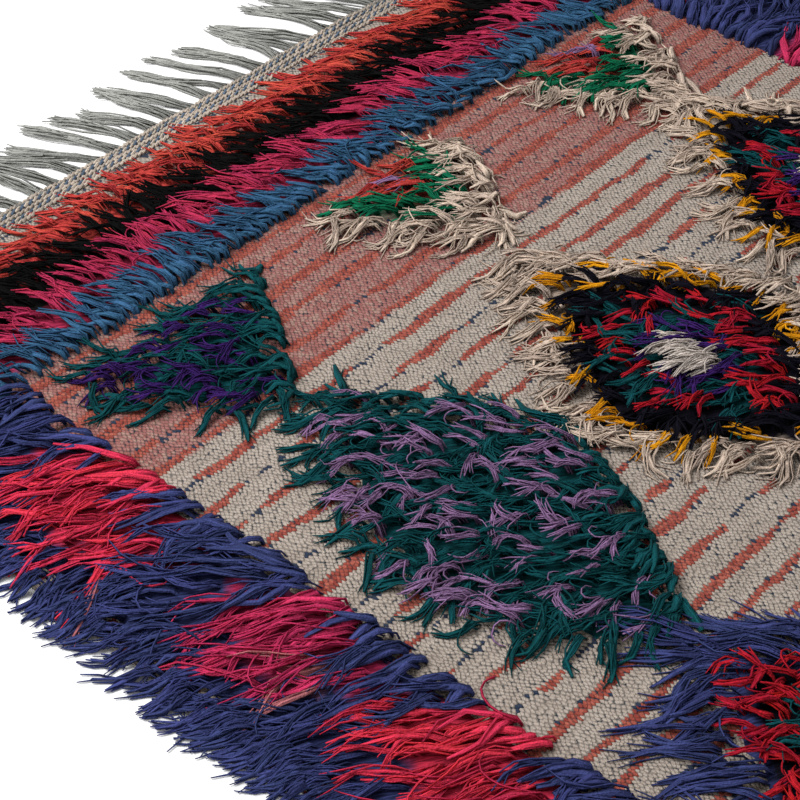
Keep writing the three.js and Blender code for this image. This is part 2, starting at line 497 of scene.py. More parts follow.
        # Warp shows as dark specks between grains, thick in some rows and sparse in others; each grain is
        # also darkened towards its edge as painted shade
        hollow = add_node(
            tree,
            "ShaderNodeMapRange",
            {"Value": grains.outputs["Distance"], "From Min": 0.3, "From Max": 0.7},
        )
        pit = add_node(
            tree,
            "ShaderNodeMapRange",
            {"Value": grains.outputs["Distance"], "From Min": 0.54, "From Max": 0.66},
        )
        dense = add_node(tree, "ShaderNodeTexNoise", {"Vector": patch_at, "Scale": 1 / 6, "Detail": 2.0})
        seen = add_node(
            tree, "ShaderNodeMapRange", {"Value": dense.outputs["Fac"], "From Min": 0.42, "From Max": 0.56}
        )
        specks = add_node(tree, "ShaderNodeMath", {0: pit, 1: seen}, operation="MULTIPLY")
        shadow = add_node(tree, "ShaderNodeMapRange", {"Value": hollow, "To Min": 1.02, "To Max": 0.8})
        hollowed = add_node(
            tree,
            "ShaderNodeVectorMath",
            {0: striped.outputs["Result"], "Scale": shadow},
            operation="SCALE",
        )
        woven = add_node(
            tree,
            "ShaderNodeMix",
            {"Factor": specks, "A": hollowed, "B": linear(self.warp)},
            data_type="RGBA",
        )
        pebble = add_node(tree, "ShaderNodeMath", {0: 1.0, 1: hollow}, operation="SUBTRACT")
        proud = add_node(tree, "ShaderNodeMath", {0: shot, 1: 0.5, 2: pebble}, operation="MULTIPLY_ADD")
        hair = add_node(tree, "ShaderNodeTexNoise", {"Vector": in_mm, "Scale": 1 / 1.4, "Detail": 2.0})
        relief = add_node(
            tree, "ShaderNodeMath", {0: hair.outputs["Fac"], 1: 0.7, 2: proud}, operation="MULTIPLY_ADD"
        )
        bump = add_node(tree, "ShaderNodeBump", {"Height": relief, "Strength": 1.0, "Distance": 1.8 * MM})
        wool = add_node(
            tree,
            "ShaderNodeBsdfPrincipled",
            {
                "Base Color": woven.outputs["Result"],
                "Roughness": 0.95,
                "IOR": 1.45,
                "Specular IOR Level": 0.1,
                "Sheen Weight": 0.05,
                "Normal": bump,
            },
        )
        add_node(tree, "ShaderNodeOutputMaterial", {"Surface": wool})
        return mat


@dataclass(frozen=True)
class ValueNoise:
    """A smooth repeatable field of values from -1 to 1 over the rug.

    Attributes:
        cell_mm: Distance between random values.
        seed: Fixed seed.
        half_mm: Half the side of the square that has values.
    """

    cell_mm: float
    seed: int
    half_mm: float = 1200.0

    def at(self, x: np.ndarray, y: np.ndarray) -> np.ndarray:
        """Reads the field.

        Args:
            x: Millimetres along the weft.
            y: Millimetres along the warp.

        Returns:
            One value for each point.
        """
        size = int(2 * self.half_mm / self.cell_mm) + 4
        grid = np.random.default_rng(self.seed).uniform(-1, 1, (size, size))
        u, v = (x + self.half_mm) / self.cell_mm, (y + self.half_mm) / self.cell_mm
        i, j = np.floor(u).astype(int), np.floor(v).astype(int)
        a, b = u - i, v - j
        return blended(grid, i, j, a * a * (3 - 2 * a), b * b * (3 - 2 * b))


@dataclass
class Guides:
    """Paths that yarn follows, gathered as arrays.

    Attributes:
        spots: Points in millimetres.
        edges: Pairs of point numbers.
        marks: Values at the points, by attribute name.
        count: Points so far.
    """

    spots: list[np.ndarray] = field(default_factory=list)
    edges: list[np.ndarray] = field(default_factory=list)
    marks: dict[str, list[np.ndarray]] = field(
        default_factory=lambda: {"thick": [], "along": [], "tint": [], "core": []}
    )
    count: int = 0

    def add(self, paths: np.ndarray, thick: np.ndarray, tint: np.ndarray, core: bool = False) -> None:
        """Adds strands of equal point count.

        Args:
            paths: Strands by points by three, in millimetres.
            thick: Half thickness, strands by points.
            tint: Shade of each strand from 0 to 1.
            core: Whether these are the thick cores of locks.
        """
        strands, points = paths.shape[:2]
        first = self.count + np.arange(strands)[:, None] * points + np.arange(points - 1)[None, :]
        self.spots.append(paths.reshape(-1, 3))
        self.edges.append(np.stack([first, first + 1], -1).reshape(-1, 2))
        self.marks["thick"].append(thick.ravel())
        self.marks["along"].append(np.tile(np.linspace(0, 1, points), strands))
        self.marks["tint"].append(np.repeat(tint, points))
        self.marks["core"].append(np.full(strands * points, float(core)))
        self.count += strands * points


@dataclass(frozen=True)
class YarnTubes:
    """A Geometry Nodes tree that spins guide paths into closed yarn tubes.

    Attributes:
        sides: Sides of a loose strand.
        core_sides: Sides of a lock's core.
        twist: Turn of a core from end to end, in radians.
        flat: Width and thickness of a pressed core, as shares of a round one.
    """

    sides: int = 3
    core_sides: int = 4
    twist: float = 0.5
    flat: tuple[float, float] = (1.5, 0.75)

    def tree(self) -> bpy.types.NodeTree:
        """Builds the tree once and gives it again on later calls.

        Returns:
            The tree, with the inputs Sides, Core Sides, Twist, Thickness and Yarn.
        """
        known = bpy.data.node_groups.get("yarn_tubes")
        if known:
            return known
        group = bpy.data.node_groups.new("yarn_tubes", "GeometryNodeTree")
        for name, kind in (
            ("Guides", "Geometry"),
            ("Sides", "Int"),
            ("Core Sides", "Int"),
            ("Twist", "Float"),
            ("Thickness", "Float"),
            ("Yarn", "Material"),
        ):
            group.interface.new_socket(name, in_out="INPUT", socket_type="NodeSocket" + kind)
        group.interface.new_socket("Tubes", in_out="OUTPUT", socket_type="NodeSocketGeometry")
        given = add_node(group, "NodeGroupInput")
        core = add_node(group, "GeometryNodeInputNamedAttribute", {"Name": "core"}, data_type="FLOAT")
        thick = add_node(group, "GeometryNodeInputNamedAttribute", {"Name": "thick"}, data_type="FLOAT")
        scale = add_node(
            group,
            "ShaderNodeMath",
            {0: thick.outputs["Attribute"], 1: given.outputs["Thickness"]},
            operation="MULTIPLY",
        )
        place = add_node(group, "GeometryNodeSplineParameter")
        turn = add_node(
            group,
            "ShaderNodeMath",
            {0: place.outputs["Factor"], 1: given.outputs["Twist"]},
            operation="MULTIPLY",
        )
        round_yarn = add_node(
            group, "GeometryNodeCurvePrimitiveCircle", {"Resolution": given.outputs["Sides"], "Radius": 1.0}
        )
        packed_yarn = add_node(
            group,
            "GeometryNodeCurvePrimitiveCircle",
            {"Resolution": given.outputs["Core Sides"], "Radius": 1.0},
        )
        pressed = add_node(
            group, "GeometryNodeTransform", {"Geometry": packed_yarn, "Scale": (*self.flat, 1.0)}
        )
        joined = add_node(group, "GeometryNodeJoinGeometry")
        for profile, test, share in ((round_yarn, "LESS_THAN", 0.5), (pressed, "GREATER_THAN", 1.0)):
            around = add_node(
                group, "ShaderNodeMath", {0: place.outputs["Factor"], 1: share}, operation="MULTIPLY"
            )
            chosen = add_node(group, "ShaderNodeMath", {0: core.outputs["Attribute"], 1: 0.5}, operation=test)
            paths = add_node(
                group,
                "GeometryNodeMeshToCurve",
                {"Mesh": given.outputs["Guides"], "Selection": chosen},
            )
            level = add_node(group, "GeometryNodeSetCurveNormal", {"Curve": paths}, mode="Z_UP")
            turned = add_node(group, "GeometryNodeSetCurveTilt", {"Curve": level, "Tilt": turn})
            marked = add_node(
                group,
                "GeometryNodeStoreNamedAttribute",
                {"Geometry": profile, "Name": "around", "Value": around},
                data_type="FLOAT",
                domain="POINT",
            )
            tubes = add_node(
                group,
                "GeometryNodeCurveToMesh",
                {
                    "Curve": turned,
                    "Profile Curve": marked,
                    "Scale": scale,
                    "Fill Caps": True,
                },
            )
            group.links.new(tubes.outputs[0], joined.inputs[0])
        smooth = add_node(group, "GeometryNodeSetShadeSmooth", {"Geometry": joined})
        real = add_node(group, "GeometryNodeRealizeInstances", {"Geometry": smooth})
        dressed = add_node(
            group,
            "GeometryNodeSetMaterial",
            {"Geometry": real, "Material": given.outputs["Yarn"]},
        )
        add_node(group, "NodeGroupOutput", {"Tubes": dressed})
        return group

    def spin(self, name: str, guides: Guides, yarn: bpy.types.Material) -> bpy.types.Object:
        """Turns guide paths into one joined piece.

        Args:
            name: The piece's name.
            guides: The paths.
            yarn: The yarn's material.

        Returns:
            The finished piece, a plain mesh.
        """
        guide = bpy.data.meshes.new(name + "_guide")
        guide.vertices.add(guides.count)
        guide.vertices.foreach_set("co", (np.concatenate(guides.spots) * MM).astype(np.float32).ravel())
        pairs = np.concatenate(guides.edges).astype(np.int32)
        guide.edges.add(len(pairs))
        guide.edges.foreach_set("vertices", pairs.ravel())
        for label, values in guides.marks.items():
            held = guide.attributes.new(label, "FLOAT", "POINT")
            held.data.foreach_set("value", np.concatenate(values).astype(np.float32))
        guide.update()
        maker = put_in_scene(name + "_guide", guide)
        group = self.tree()
        spun = maker.modifiers.new("yarn_tubes", "NODES")
        spun.node_group = group
        named = {item.name: item.identifier for item in group.interface.items_tree if item.in_out == "INPUT"}
        spun[named["Sides"]] = self.sides
        spun[named["Core Sides"]] = self.core_sides
        spun[named["Twist"]] = self.twist
        spun[named["Thickness"]] = MM
        spun[named["Yarn"]] = yarn
        graph = bpy.context.evaluated_depsgraph_get()
        mesh = bpy.data.meshes.new_from_object(
            maker.evaluated_get(graph), preserve_all_data_layers=True, depsgraph=graph
        )
        mesh.name = name
        maker.modifiers.remove(spun)
        bpy.data.objects.remove(maker)
        bpy.data.meshes.remove(guide)
        for label in ("thick", "core"):
            if label in mesh.attributes:
                mesh.attributes.remove(mesh.attributes[label])
        return put_in_scene(name, mesh)


@dataclass(frozen=True)
class Diamond:
    """One diamond of the lattice, by the roots of its knots, in millimetres.

    Attributes:
        motif: Which kind.
        x: Middle along the weft.
        y: Middle along the warp.
        half_width: Half size along the weft.
        half_length: Half size along the warp.
        from_y: Lowest root.
        to_y: Highest root.
        fullness: How far the lower left side swells, 1 for a straight edge.
    """

    motif: Motif
    x: float
    y: float
    half_width: float
    half_length: float
    from_y: float = -2000.0
    to_y: float = 2000.0
    fullness: float = 1.25

    def depth(self, x: np.ndarray, y: np.ndarray) -> np.ndarray:
        """Gives 0 at the middle and 1 at the edge, with corners a little rounded.

        Args:
            x: Millimetres along the weft.
            y: Millimetres along the warp.

        Returns:
            One value for each point.
        """
        across = np.abs(x - self.x) / self.half_width
        along = np.abs(y - self.y) / self.half_length
        power = np.where((x < self.x) & (y < self.y), self.fullness, 1.25)
        whole = (across**power + along**power) ** (1 / power)
        return np.where((y >= self.from_y) & (y <= self.to_y), whole, 9.0)


LATTICE: tuple[Diamond, ...] = (
    Diamond(Motif.TEAL_SPOTTED, -308, 528, 112, 174, to_y=511, fullness=1.6),
    Diamond(Motif.CREAM_GREEN, 6, 536, 108, 166, to_y=514),
    Diamond(Motif.CREAM_GREEN, 318, 536, 108, 166, to_y=514),
    Diamond(Motif.TEAL_LILAC, -288, 142, 122, 202, fullness=1.9),
    Diamond(Motif.MEDALLION, -14, 118, 146, 182),
    Diamond(Motif.MEDALLION, 308, 166, 146, 182),
    Diamond(Motif.VIOLET_RED, -296, -264, 134, 190),
    Diamond(Motif.TEAL_LILAC, 6, -268, 126, 196),
    Diamond(Motif.MEDALLION, 320, -244, 142, 178),
    Diamond(Motif.CREAM_GREEN, -300, -668, 106, 166, from_y=-662),
    Diamond(Motif.TEAL_SPOTTED, 4, -668, 100, 170, from_y=-660),
    Diamond(Motif.CREAM_GREEN, 312, -668, 106, 166, from_y=-662),
)

# End bands by the roots of their knots
BANDS: tuple[tuple[Dye, float, float], ...] = (
    (Dye.BLUE, 552, 570),
    (Dye.RASPBERRY, 580, 616),
    (Dye.BLACK, 624, 660),
    (Dye.CORAL_RED, 667, 706),
    (Dye.BLUE, -736, -714),
    (Dye.RASPBERRY, -773, -742),
    (Dye.BLACK, -801, -779),
    (Dye.CORAL_RED, -856, -808),
)

# Rings of each kind of diamond, from the edge inward, as shares of its half size
RINGS: dict[Motif, tuple[tuple[float, Dye], ...]] = {
    Motif.TEAL_SPOTTED: ((1.0, Dye.TEAL),),
    Motif.CREAM_GREEN: ((1.0, Dye.CREAM), (0.74, Dye.EMERALD), (0.45, Dye.CORAL_RED)),
    Motif.TEAL_LILAC: ((1.0, Dye.TEAL),),
    Motif.MEDALLION: (
        (1.0, Dye.CREAM),
        (0.87, Dye.MUSTARD),
        (0.78, Dye.NAVY),
        (0.59, Dye.RED),
        (0.38, Dye.TEAL),
        (0.29, Dye.PURPLE),
    ),
    Motif.VIOLET_RED: ((1.0, Dye.VIOLET), (0.74, Dye.RED), (0.42, Dye.TEAL), (0.22, Dye.MUSTARD)),
}

# Tufts set into the rings, and the size of those that are a single eye
TUFT_OF: dict[Motif, Dye] = {
    Motif.TEAL_SPOTTED: Dye.PURPLE,
    Motif.CREAM_GREEN: Dye.LILAC,
    Motif.TEAL_LILAC: Dye.LILAC,
    Motif.MEDALLION: Dye.WHITE,
    Motif.VIOLET_RED: Dye.WHITE,
}
EYE_OF: dict[Motif, float] = {Motif.MEDALLION: 0.155, Motif.VIOLET_RED: 0.1}

# Profiles along a lock: places from knot to tip, and a share of its length, height or thickness there
RIM_FORWARD = ([0, 0.1, 0.22, 0.45, 0.72, 1], [0, 0.03, 0.1, 0.32, 0.66, 1])
RIM_HEIGHT = ([0, 0.1, 0.22, 0.45, 0.8, 1.0], [0.05, 0.42, 0.74, 0.96, 1.0, 0.9])
LOCK_HEIGHT = ([0, 0.1, 0.28, 0.55, 0.8, 1.0], [0.1, 0.72, 0.95, 1.0, 1.0, 0.88])
STRAND_TAPER = ([0, 0.1, 0.8, 1.0], [0.9, 1.0, 0.95, 0.5])
CORE_TAPER = ([0, 0.12, 0.4, 0.75, 1.0], [0.7, 0.95, 1.05, 1.0, 0.5])


@dataclass
class GroundCloth:
    """The flat-woven ground: one thin cloth, laid flat.

    Attributes:
        width: Along the weft, in millimetres.
        start: Plain end along the warp.
        end: Fringe end along the warp.
        thick: Thickness.
        cell: Spacing of the mesh.
        weave: The cloth's finish.
    """

    width: float = 1216.0
    start: float = -880.0
    end: float = 742.0
    thick: float = 3.6
    cell: float = 30.0
    weave: FlatWeave = field(default_factory=FlatWeave)

    def top(self, x: np.ndarray, y: np.ndarray) -> np.ndarray:
        """Height of the upper face in millimetres, a little uneven."""
        return self.thick + 0.35 * ValueNoise(70, 11).at(x, y) + 0.25 * ValueNoise(26, 12).at(x, y)

    def build(self) -> bpy.types.Object:
        """Builds the closed cloth.

        Returns:
            The ground piece.
        """
        columns = round(self.width / self.cell)
        rows = round((self.end - self.start) / self.cell)
        xs = np.linspace(-self.width / 2, self.width / 2, columns + 1)
        ys = np.linspace(self.start, self.end, rows + 1)
        x, y = np.meshgrid(xs, ys, indexing="ij")
        rim = np.minimum(self.width / 2 - np.abs(x), np.minimum(self.end - y, y - self.start))
        upper = self.top(x, y) - 0.9 * (rim < 1)
        count = x.size
        layers = [np.stack([x, y, z], -1).reshape(-1, 3) for z in (upper, np.zeros_like(x))]
        points = np.concatenate(layers)
        number = np.arange(count).reshape(columns + 1, rows + 1)
        a, b = number[:-1, :-1].ravel(), number[1:, :-1].ravel()
        c, d = number[1:, 1:].ravel(), number[:-1, 1:].ravel()
        faces = [np.stack([a, b, c, d], -1), np.stack([d, c, b, a], -1) + count]
        ring = np.concatenate([number[:-1, 0], number[-1, :-1], number[:0:-1, -1], number[0, :0:-1]])
        after = np.roll(ring, -1)
        faces.append(np.stack([ring + count, after + count, after, ring], -1))
        mesh = bpy.data.meshes.new("ground_cloth")
        mesh.from_pydata((points * MM).tolist(), [], np.concatenate(faces).tolist())
        mesh.shade_smooth()
        return put_in_scene("ground_cloth", mesh)

    def dress(self, piece: bpy.types.Object) -> None:
        """Gives the cloth its weave."""
        piece.data.materials.append(self.weave.material())


@dataclass
class Shag:
    """The knotted shag: locks of yarn in a lattice of knots, leaning and lying over each other.

    Attributes:
        ground: The cloth that holds the knots.
        border_pitch: Distance between locks in the side borders, in millimetres.
        field_pitch: Distance between locks in the diamonds.
        band_pitch: Distance between locks along the end bands.
        band_row: Distance between rows of locks in the end bands.
        rim_pitch: Distance between the short locks that wrap the rims facing against the lean.
        border_from: Where the side borders start, from the middle.
        border_to: Where their last roots are.
        reach: How far tips may hang over the side edges.
        support_cell: Spacing of the map of where shag stands.
        seed: Fixed seed.
        border_ends: Where the side borders end along the warp.
        patch_pitch: Distance between patches of one dye in a border.
        patch_x: Middle of the patches, from the rug's middle.
        crimson_at: Middle of a crimson patch of the left border, along the warp.
        pink_at: Middle of a hot pink patch there.
        tuft_row: Distance between rows of tufts in the teal diamonds.
        tuft_pitch: Distance between tufts in a row.
        lean_deg: Way the diamonds' locks lie, from the weft.
        left_lean_deg: Way the left border's locks lie.
        right_lean_deg: Way the right border's locks lie.
        band_lean_deg: Way the end bands' locks lie.
        side_from: Where the borders' lean starts, from the middle.
        bands_from: Where the end bands' lean starts, at the plain end and at the fringe end.
        ceiling: Greatest height of a path.
        map_half: Half sides of the map of where shag stands.
    """

    ground: GroundCloth
    border_pitch: float = 18.9
    field_pitch: float = 14.2
    band_pitch: float = 15.5
    band_row: float = 13.5
    rim_pitch: float = 8.5
    border_from: float = 452.0
    border_to: float = 602.0
    reach: float = 28.0
    support_cell: float = 8.0
    seed: int = 5
    border_ends: tuple[float, float] = (-712.0, 548.0)
    patch_pitch: float = 410.0
    patch_x: float = 500.0
    crimson_at: float = 374.0
    pink_at: float = 150.0
    tuft_row: float = 38.0
    tuft_pitch: float = 42.0
    lean_deg: float = 145.0
    left_lean_deg: float = 157.0
    right_lean_deg: float = 28.0
    band_lean_deg: float = 121.0
    side_from: float = 430.0
    bands_from: tuple[float, float] = (-705.0, 550.0)
    ceiling: float = 31.0
    map_half: tuple[float, float] = (720.0, 960.0)

    def patch_offset(self, x: np.ndarray, y: np.ndarray, middle: float) -> np.ndarray:
        """How far a place is along the warp from the nearest patch. The right border is half a pitch off.

        Args:
            x: Millimetres along the weft.
            y: Millimetres along the warp.
            middle: Middle of one patch of the left border.

        Returns:
            One distance for each point, with its sign.
        """
        half = self.patch_pitch / 2
        return (y + np.where(x > 0, half, 0.0) - middle + 21 * half) % self.patch_pitch - half

    def border_dye(self, x: np.ndarray, y: np.ndarray) -> np.ndarray:
        """Dyes of the side borders: violet with crimson, hot pink and salmon patches.

        Args:
            x: Millimetres along the weft.
            y: Millimetres along the warp.

        Returns:
            A dye's number for each point, or -1 outside the borders.
        """
        dyes = np.full(x.shape, -1)
        across = np.abs(x)
        inside = (across >= self.border_from + 7 * ValueNoise(60, 31).at(x, y)) & (across <= self.border_to)
        inside &= (y < self.border_ends[1]) & (y > self.border_ends[0])
        dyes[inside] = NUMBER_OF[Dye.VIOLET]
        first = self.patch_offset(x, y, self.crimson_at)
        second = self.patch_offset(x, y, self.pink_at)
        aside = np.abs(across - self.patch_x)
        crimson = aside / 66 + np.abs(first) / 108 < 1
        pink = (aside / 62 + np.abs(second) / 92 < 1) & (y < 360)
        pale = (np.hypot(across - 522, second + 24) < 20) | (np.hypot(across - 558, first + 55) < 16)
        dyes[inside & crimson] = NUMBER_OF[Dye.CRIMSON]
        dyes[inside & pink] = NUMBER_OF[Dye.HOT_PINK]
        dyes[inside & pale] = NUMBER_OF[Dye.SALMON]
        return dyes

    def motif_dye(self, diamond: Diamond, x: np.ndarray, y: np.ndarray) -> np.ndarray:
        """Dyes inside one diamond.

        Args:
            diamond: The diamond.
            x: Millimetres along the weft.
            y: Millimetres along the warp.

        Returns:
            A dye's number for each point, or -1 outside.
        """
        m = diamond.depth(x, y)
        u, v = x - diamond.x, y - diamond.y
        row_at, motif = v / self.tuft_row, diamond.motif
        stagger = np.where(np.round(row_at) % 2 == 0, 0.0, 0.5)
        row = np.abs(row_at - np.round(row_at)) < 0.3
        if motif is Motif.CREAM_GREEN:
            spots = np.hypot(u - 8, v + 34) < 13
        elif motif in EYE_OF:
            spots = m < EYE_OF[motif]
        else:
            spots = row & (np.abs((u / self.tuft_pitch + stagger) % 1 - 0.5) < 0.29) & (m < 0.92)
        dyes = np.full(x.shape, -1)
        for limit, dye in RINGS[motif]:
            dyes[m < limit] = NUMBER_OF[dye]
        if motif is Motif.MEDALLION:
            far = np.hypot(u / (0.98 * diamond.half_width), v / (1.22 * diamond.half_length))
            slim = np.abs(u) / (1.06 * diamond.half_width) + np.abs(v) / (1.32 * diamond.half_length)
            dyes[(dyes < 0) & (slim < 1) & (far < 1.06)] = NUMBER_OF[Dye.CREAM]
            mixed = (dyes == NUMBER_OF[Dye.RED]) & (ValueNoise(22, 35).at(x, y) > 0.3)
            dyes[mixed] = NUMBER_OF[Dye.TEAL]
        dyes[spots & (m < 1)] = NUMBER_OF[TUFT_OF[motif]]
        return dyes

    def dye_at(self, x: np.ndarray, y: np.ndarray) -> np.ndarray:
        """The dye of the knot at each place.

        Args:
            x: Millimetres along the weft.
            y: Millimetres along the warp.

        Returns:
            A dye's number for each point, or -1 on bare ground.
        """
        dyes = self.border_dye(x, y)
        for diamond in LATTICE:
            inner = self.motif_dye(diamond, x, y)
            dyes = np.where(inner >= 0, inner, dyes)
        wave = 3 * ValueNoise(45, 41).at(x, np.zeros_like(y))
        for dye, low, high in BANDS:
            inside = (y >= low - 2 + wave) & (y < high + 2 + wave) & (np.abs(x) < self.ground.width / 2 - 4)
            dyes = np.where(inside, NUMBER_OF[dye], dyes)
        return dyes

    def support(self, x: np.ndarray, y: np.ndarray) -> np.ndarray:
        """How far the shag below carries a lock: 1 amid shag, 0 over bare ground.

        Args:
            x: Millimetres along the weft.
            y: Millimetres along the warp.

        Returns:
            One value for each point.
        """
        cell = self.support_cell
        half_x, half_y = self.map_half
        xs, ys = np.arange(-half_x, half_x + 1, cell), np.arange(-half_y, half_y + 1, cell)
        gx, gy = np.meshgrid(xs, ys, indexing="ij")
        stands = (self.dye_at(gx, gy) >= 0).astype(float)
        for axis in (0, 1):
            for _ in range(2):
                stands = (np.roll(stands, 1, axis) + stands + np.roll(stands, -1, axis)) / 3
        u = np.clip((x + half_x) / cell, 0, stands.shape[0] - 1.01)
        v = np.clip((y + half_y) / cell, 0, stands.shape[1] - 1.01)
        i, j = u.astype(int), v.astype(int)
        return blended(stands, i, j, u - i, v - j)

    def lean_at(self, x: np.ndarray, y: np.ndarray) -> np.ndarray:
        """Which way the locks lie, in radians from the weft.

        Args:
            x: Millimetres along the weft.
            y: Millimetres along the warp.

        Returns:
            One angle for each point.
        """
        lean = np.full(x.shape, math.radians(self.lean_deg))
        lean[x < -self.side_from] = math.radians(self.left_lean_deg)
        lean[x > self.side_from] = math.radians(self.right_lean_deg)
        lean[(y > self.bands_from[1]) | (y < self.bands_from[0])] = math.radians(self.band_lean_deg)
        return lean + 0.26 * ValueNoise(110, 51).at(x, y) + 0.36 * ValueNoise(48, 52).at(x, y)

    def roots(self, rng: np.random.Generator) -> tuple[np.ndarray, np.ndarray]:
        """Places the knots: rows along each end band, and a staggered grid between the bands.

        Args:
            rng: Source of the scatter.

        Returns:
            Places along the weft and the warp.
        """
        half = self.ground.width / 2 - 8
        spots = []
        for pitch, border in ((self.border_pitch, True), (self.field_pitch, False)):
            rows = np.arange(BANDS[4][2] + 6, BANDS[0][1] - 4, pitch)
            x, y = np.meshgrid(np.arange(-half, half, pitch), rows, indexing="ij")
            x = x + (np.arange(len(rows)) % 2)[None, :] * pitch / 2
            found = np.stack([x + rng.uniform(-4.5, 4.5, x.shape), y + rng.uniform(-4.5, 4.5, y.shape)], -1)
            spots.append(found[(np.abs(found[..., 0]) > self.border_from - 12) == border])
        for _, low, high in BANDS:
            count = max(2, round((high - low) / self.band_row))
            rows = low + (np.arange(count) + 0.5) * (high - low) / count
            x, y = np.meshgrid(np.arange(-half, half, self.band_pitch), rows, indexing="ij")
            x = x + (np.arange(count) % 2)[None, :] * self.band_pitch / 2
            spots.append(np.stack([x + rng.uniform(-4, 4, x.shape), y + rng.uniform(-2.5, 2.5, y.shape)], -1))
        found = np.concatenate([part.reshape(-1, 2) for part in spots])
        return found[:, 0], found[:, 1]

    def rim_roots(self, rng: np.random.Generator) -> tuple[np.ndarray, np.ndarray, np.ndarray]:
        """Places more knots where the shag ends against its lean, in the white tufts and at the side hems.

        Args:
            rng: Source of the scatter.

        Returns:
            Places along the weft and the warp, and which of them wrap a rim.
        """
        half = self.ground.width / 2 - 8
        rows = np.arange(BANDS[4][1] - 4, BANDS[0][2] + 4, self.rim_pitch)
        x, y = np.meshgrid(np.arange(-half, half, self.rim_pitch), rows, indexing="ij")
        x = (x + rng.uniform(-4.2, 4.2, x.shape)).ravel()
        y = (y + rng.uniform(-4.2, 4.2, y.shape)).ravel()
        dyes, lean = self.dye_at(x, y), self.lean_at(x, y)
        before = self.dye_at(x - self.rim_pitch * np.cos(lean), y - self.rim_pitch * np.sin(lean))
        rim = (dyes >= 0) & (before < 0)
        pale = (dyes == NUMBER_OF[Dye.WHITE]) & (rng.random(x.shape) < 0.75)
        hem = (dyes >= 0) & (np.abs(x) > self.border_to - 18) & (rng.random(x.shape) < 0.5)
        keep = rim | pale | hem
        return x[keep], y[keep], (rim & ~pale & ~hem)[keep]

    def locks(self) -> dict[str, np.ndarray]:
        """Places every lock and chooses its dye, lean, length and lift.

        Returns:
            Arrays by name, one value for each lock.
        """
        rng = np.random.default_rng(self.seed)
        x, y = self.roots(rng)
        more_x, more_y, wraps = self.rim_roots(rng)
        rim = np.concatenate([np.zeros(x.shape, bool), wraps])
        x, y = np.concatenate([x, more_x]), np.concatenate([y, more_y])
        dyes = self.dye_at(x, y)
        keep = dyes >= 0
        x, y, dyes, rim = x[keep], y[keep], dyes[keep], rim[keep]
        own = {
            name: np.array([getattr(YARN_OF[dye], name) for dye in Dye])[dyes]
            for name in ("splay", "loose", "curl", "length", "lift")
        }
        lean = self.lean_at(x, y)
        ax, ay = np.cos(lean), np.sin(lean)
        outward = rng.uniform(0.0, 1.0, x.shape) * own["splay"]
        for diamond in LATTICE:
            m = diamond.depth(x, y)
            u, v = (x - diamond.x) / diamond.half_width, (y - diamond.y) / diamond.half_length
            size = np.maximum(np.hypot(u, v), 1e-6)
            push = np.where(m < 1, outward * m**2, 0.0)
            ax, ay = ax + push * u / size, ay + push * v / size
        unruly = np.clip(own["curl"] / 0.5, 0.4, 1.3)
        loose = np.where(rim, 1.4 * own["loose"], own["loose"])
        lean = np.arctan2(ay, ax) + rng.normal(0, 1, x.shape) * loose
        length = own["length"] * rng.uniform(0.84, 1.12, x.shape)
        length = length * np.where(rim, rng.uniform(0.4, 1.0, x.shape), 1.0)
        room = (self.ground.width / 2 + self.reach - np.abs(x)) * rng.uniform(0.85, 1.0, x.shape)
        runs_out = np.maximum(np.cos(lean) * np.sign(x), 0.05)
        return {
            "x": x,
            "y": y,
            "dye": dyes,
            "rim": rim,
            "lean": lean,
            "length": np.minimum(length, room / runs_out),
            "lift": own["lift"] * rng.uniform(0.75, 1.25, x.shape),
            "bend": rng.normal(0, 0.45, x.shape) * unruly,
            "wave": rng.uniform(0, 2 * np.pi, x.shape),
            "wag": rng.uniform(0.25, 0.65, x.shape) * unruly,
            "tint": rng.uniform(0.2, 0.8, x.shape),
        }

    def lay(
        self, start: np.ndarray, heading: np.ndarray, length: np.ndarray, rise: np.ndarray, radius: float
    ) -> np.ndarray:
        """Walks paths over the rug: up from the knot, over, and down where nothing carries them.

        Args:
            start: Roots, strands by two.
            heading: Direction of each step, strands by steps.
            length: Length of each step, strands by steps.
            rise: Height at each point if shag lies below, strands by points.
            radius: Half thickness, kept above what is below.

        Returns:
            Strands by points by three, in millimetres.
        """
        zero = np.zeros((len(start), 1))
        x = start[:, :1] + np.hstack([zero, np.cumsum(length * np.cos(heading), 1)])
        y = start[:, 1:] + np.hstack([zero, np.cumsum(length * np.sin(heading), 1)])
        far = np.linspace(0, 1, rise.shape[1])[None, :]
        free = np.clip((far - 0.3) / 0.35, 0, 1)
        carried = (1 - free) * 0.95 + free * self.support(x, y) ** 0.8
        edge = np.clip((self.ground.width / 2 + 6 - np.abs(x)) / 14, 0, 1)
        base = self.ground.thick * edge
        z = np.maximum(base + rise * carried, base + radius + 0.4)
        z[:, 0] = self.ground.thick - 1.2
        return np.stack([x, y, np.minimum(z, self.ceiling)], -1)

